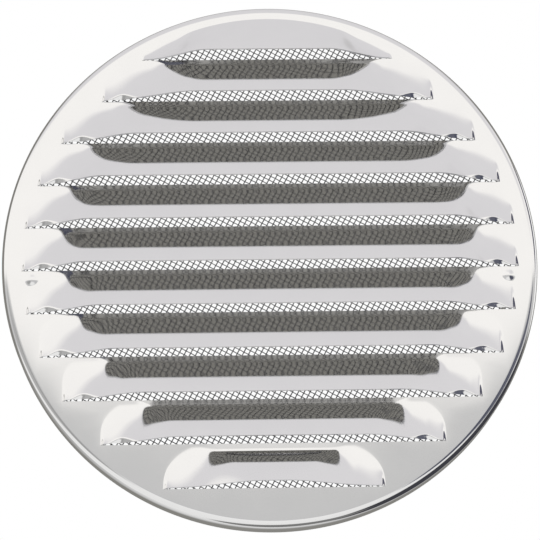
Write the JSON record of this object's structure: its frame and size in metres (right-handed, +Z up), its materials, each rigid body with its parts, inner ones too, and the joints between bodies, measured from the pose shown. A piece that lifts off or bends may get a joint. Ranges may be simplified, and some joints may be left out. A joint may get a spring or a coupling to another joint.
{
  "type": "round vent cover",
  "caption": "Round pressed steel louvre cover with a rolled rim, an insect mesh behind its louvres and leaf springs that hold it in an air duct.",
  "frame": {"origin": "centre of the cover in the plane of the wall, where the back edge of the rim rests", "axes": "+Y into the wall along the duct, so the louvres face -Y; +Z up; +X to the right as seen from the room"},
  "size_m": [0.2, 0.0467, 0.2],
  "materials": {
    "polished_steel": "bright rolled stainless sheet, nearly mirror",
    "wire_cloth": "dull drawn wire",
    "spring_steel": "satin spring strip"
  },
  "bodies": {
    "root": {"louvre_plate": "polished_steel", "insect_mesh": "wire_cloth", "spring_left": "spring_steel", "spring_right": "spring_steel"}
  },
  "joints": []
}
